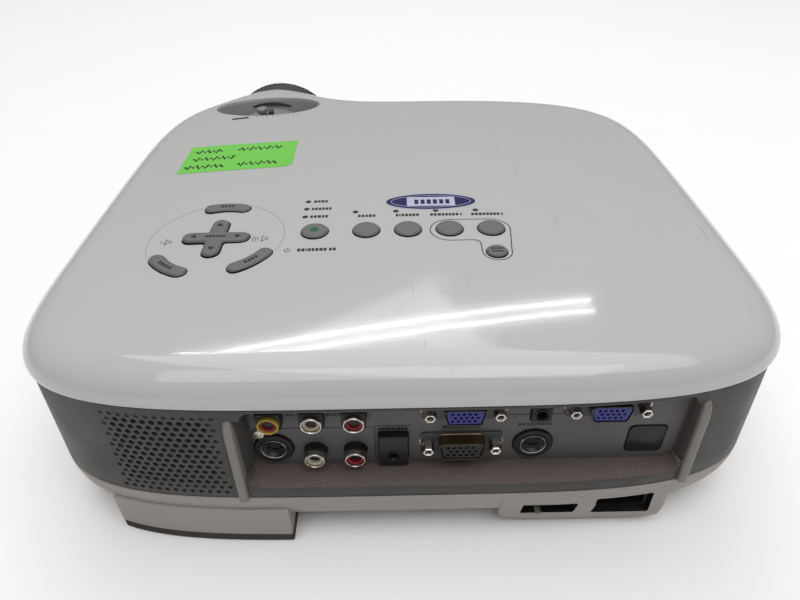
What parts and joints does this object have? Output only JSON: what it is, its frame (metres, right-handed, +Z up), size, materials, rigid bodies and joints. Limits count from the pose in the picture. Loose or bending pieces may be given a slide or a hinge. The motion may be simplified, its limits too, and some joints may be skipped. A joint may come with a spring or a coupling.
{
  "type": "home projector",
  "caption": "Portable home projector with a crowned white top, silver band, rear terminal recess, sprung keys, turning lens rings, tilt foot and inner boards, lamp and fan.",
  "frame": {"origin": "centre of the bounding box at the surface the feet stand on", "axes": "+Z up, -Y out of the lens, +Y out of the terminal panel, +X towards the side that holds the lens"},
  "size_m": [0.2934, 0.307, 0.0921],
  "materials": {
    "white_gloss": "glossy warm white moulded top",
    "silver_band": "satin silver-grey paint on plastic",
    "lower_white": "satin off-white",
    "key_grey": "satin mid grey",
    "dark_grey": "dark grey, finely textured",
    "black_plastic": "black",
    "panel_grey": "dark warm grey paint",
    "smoked_window": "dark infra-red window",
    "rubber_pad": "dark rubber",
    "steel": "nickel plated",
    "phono_yellow": "yellow insulator",
    "phono_white": "white insulator",
    "phono_red": "red insulator",
    "socket_blue": "blue insulator",
    "lens_glass": "coated glass",
    "circuit_board": "green resin board",
    "casting": "cast metal",
    "light_guide": "clear tinted light pipe",
    "mirror_coat": "coated reflector"
  },
  "bodies": {
    "root": {"top_cover": "white_gloss", "middle_band": "silver_band", "bottom_cover": "lower_white", "rear_vent_grille": "silver_band", "front_vent_grille": "silver_band", "front_sensor_window": "smoked_window", "filter_cover": "lower_white", "lamp_cover": "lower_white", "lamp_cover_screw": "steel", "rear_left_foot_housing": "lower_white", "rear_left_foot_pad": "rubber_pad", "power_inlet_housing": "lower_white", "rear_right_foot_pad": "rubber_pad", "front_foot_sleeve": "dark_grey", "lens_barrel": "dark_grey", "key_board": "circuit_board", "status_light_guide": "light_guide", "input_light_guide": "light_guide", "terminal_plate": "panel_grey", "video_in_jack": "phono_yellow", "audio_left_jack": "phono_white", "audio_right_jack": "phono_red", "svideo_audio_left_jack": "phono_white", "svideo_audio_right_jack": "phono_red", "svideo_socket": "black_plastic", "pc_control_socket": "black_plastic", "computer_1_socket": "socket_blue", "computer_2_socket": "socket_blue", "monitor_out_socket": "steel", "audio_out_jack": "black_plastic", "computer_audio_jack": "black_plastic", "rear_sensor_window": "smoked_window", "terminal_board": "circuit_board", "power_switch_body": "black_plastic", "ac_inlet": "black_plastic", "optical_engine": "casting", "lamp_housing": "dark_grey", "lamp_reflector": "mirror_coat", "exhaust_fan_frame": "black_plastic", "main_board": "circuit_board", "power_supply": "circuit_board", "speaker": "black_plastic"},
    "focus": {"focus_ring": "dark_grey", "front_lens_element": "lens_glass"},
    "zoom": {"zoom_ring": "silver_band"},
    "select_pivot": {"select_gimbal": "black_plastic"},
    "select_key": {"key_select": "key_grey"},
    "switch_rocker": {"power_switch_rocker": "black_plastic"},
    "foot": {"front_foot": "dark_grey"},
    "foot_button": {"front_foot_button": "key_grey"},
    "fan_rotor": {"exhaust_fan_rotor": "black_plastic"},
    "key_menu_body": {"key_menu": "key_grey"},
    "key_enter_body": {"key_enter": "key_grey"},
    "key_exit_body": {"key_exit": "key_grey"},
    "key_power_body": {"key_power": "key_grey"},
    "key_video_body": {"key_video": "key_grey"},
    "key_svideo_body": {"key_svideo": "key_grey"},
    "key_computer_1_body": {"key_computer_1": "key_grey"},
    "key_computer_2_body": {"key_computer_2": "key_grey"},
    "key_auto_adjust_body": {"key_auto_adjust": "key_grey"}
  },
  "joints": [
    {"name": "focus_turn", "type": "hinge", "parent": "root", "child": "focus", "pos_m": [0.0825, -0.146, 0.0485], "axis": [0, -1, 0], "range_deg": [-60, 60]},
    {"name": "zoom_turn", "type": "hinge", "parent": "root", "child": "zoom", "pos_m": [0.0825, -0.0995, 0.0485], "axis": [0, -1, 0], "range_deg": [-24, 24]},
    {"name": "select_tilt_x", "type": "hinge", "parent": "root", "child": "select_pivot", "pos_m": [0.0795, 0.0625, 0.0847], "axis": [1, 0, 0], "range_deg": [-3, 3], "stiffness_Nm_per_rad": 0.02},
    {"name": "select_tilt_y", "type": "hinge", "parent": "select_pivot", "child": "select_key", "pos_m": [0.0795, 0.0625, 0.0847], "axis": [0, 1, 0], "range_deg": [-3, 3], "stiffness_Nm_per_rad": 0.02},
    {"name": "power_switch_rock", "type": "hinge", "parent": "root", "child": "switch_rocker", "pos_m": [-0.0569, 0.142, 0.016], "axis": [0, 0, 1], "range_deg": [0, 13.75]},
    {"name": "front_foot_slide", "type": "slide", "parent": "root", "child": "foot", "axis": [0, 0, -1], "range_m": [0, 0.025]},
    {"name": "foot_button_press", "type": "slide", "parent": "root", "child": "foot_button", "axis": [0, 1, 0], "range_m": [0, 0.003], "stiffness_N_per_m": 300, "springref_m": -0.001},
    {"name": "fan_spin", "type": "hinge", "parent": "root", "child": "fan_rotor", "pos_m": [0.0865, 0.1245, 0.0494], "axis": [0, 1, 0], "continuous": true},
    {"name": "key_menu_press", "type": "slide", "parent": "root", "child": "key_menu_body", "axis": [0, 0, -1], "range_m": [0, 0.0008], "stiffness_N_per_m": 400, "springref_m": -0.0006},
    {"name": "key_enter_press", "type": "slide", "parent": "root", "child": "key_enter_body", "axis": [0, 0, -1], "range_m": [0, 0.0008], "stiffness_N_per_m": 400, "springref_m": -0.0006},
    {"name": "key_exit_press", "type": "slide", "parent": "root", "child": "key_exit_body", "axis": [0, 0, -1], "range_m": [0, 0.0008], "stiffness_N_per_m": 400, "springref_m": -0.0006},
    {"name": "key_power_press", "type": "slide", "parent": "root", "child": "key_power_body", "axis": [0, 0, -1], "range_m": [0, 0.0008], "stiffness_N_per_m": 400, "springref_m": -0.0006},
    {"name": "key_video_press", "type": "slide", "parent": "root", "child": "key_video_body", "axis": [0, 0, -1], "range_m": [0, 0.0008], "stiffness_N_per_m": 400, "springref_m": -0.0006},
    {"name": "key_svideo_press", "type": "slide", "parent": "root", "child": "key_svideo_body", "axis": [0, 0, -1], "range_m": [0, 0.0008], "stiffness_N_per_m": 400, "springref_m": -0.0006},
    {"name": "key_computer_1_press", "type": "slide", "parent": "root", "child": "key_computer_1_body", "axis": [0, 0, -1], "range_m": [0, 0.0008], "stiffness_N_per_m": 400, "springref_m": -0.0006},
    {"name": "key_computer_2_press", "type": "slide", "parent": "root", "child": "key_computer_2_body", "axis": [0, 0, -1], "range_m": [0, 0.0008], "stiffness_N_per_m": 400, "springref_m": -0.0006},
    {"name": "key_auto_adjust_press", "type": "slide", "parent": "root", "child": "key_auto_adjust_body", "axis": [0, 0, -1], "range_m": [0, 0.0008], "stiffness_N_per_m": 400, "springref_m": -0.0006}
  ]
}
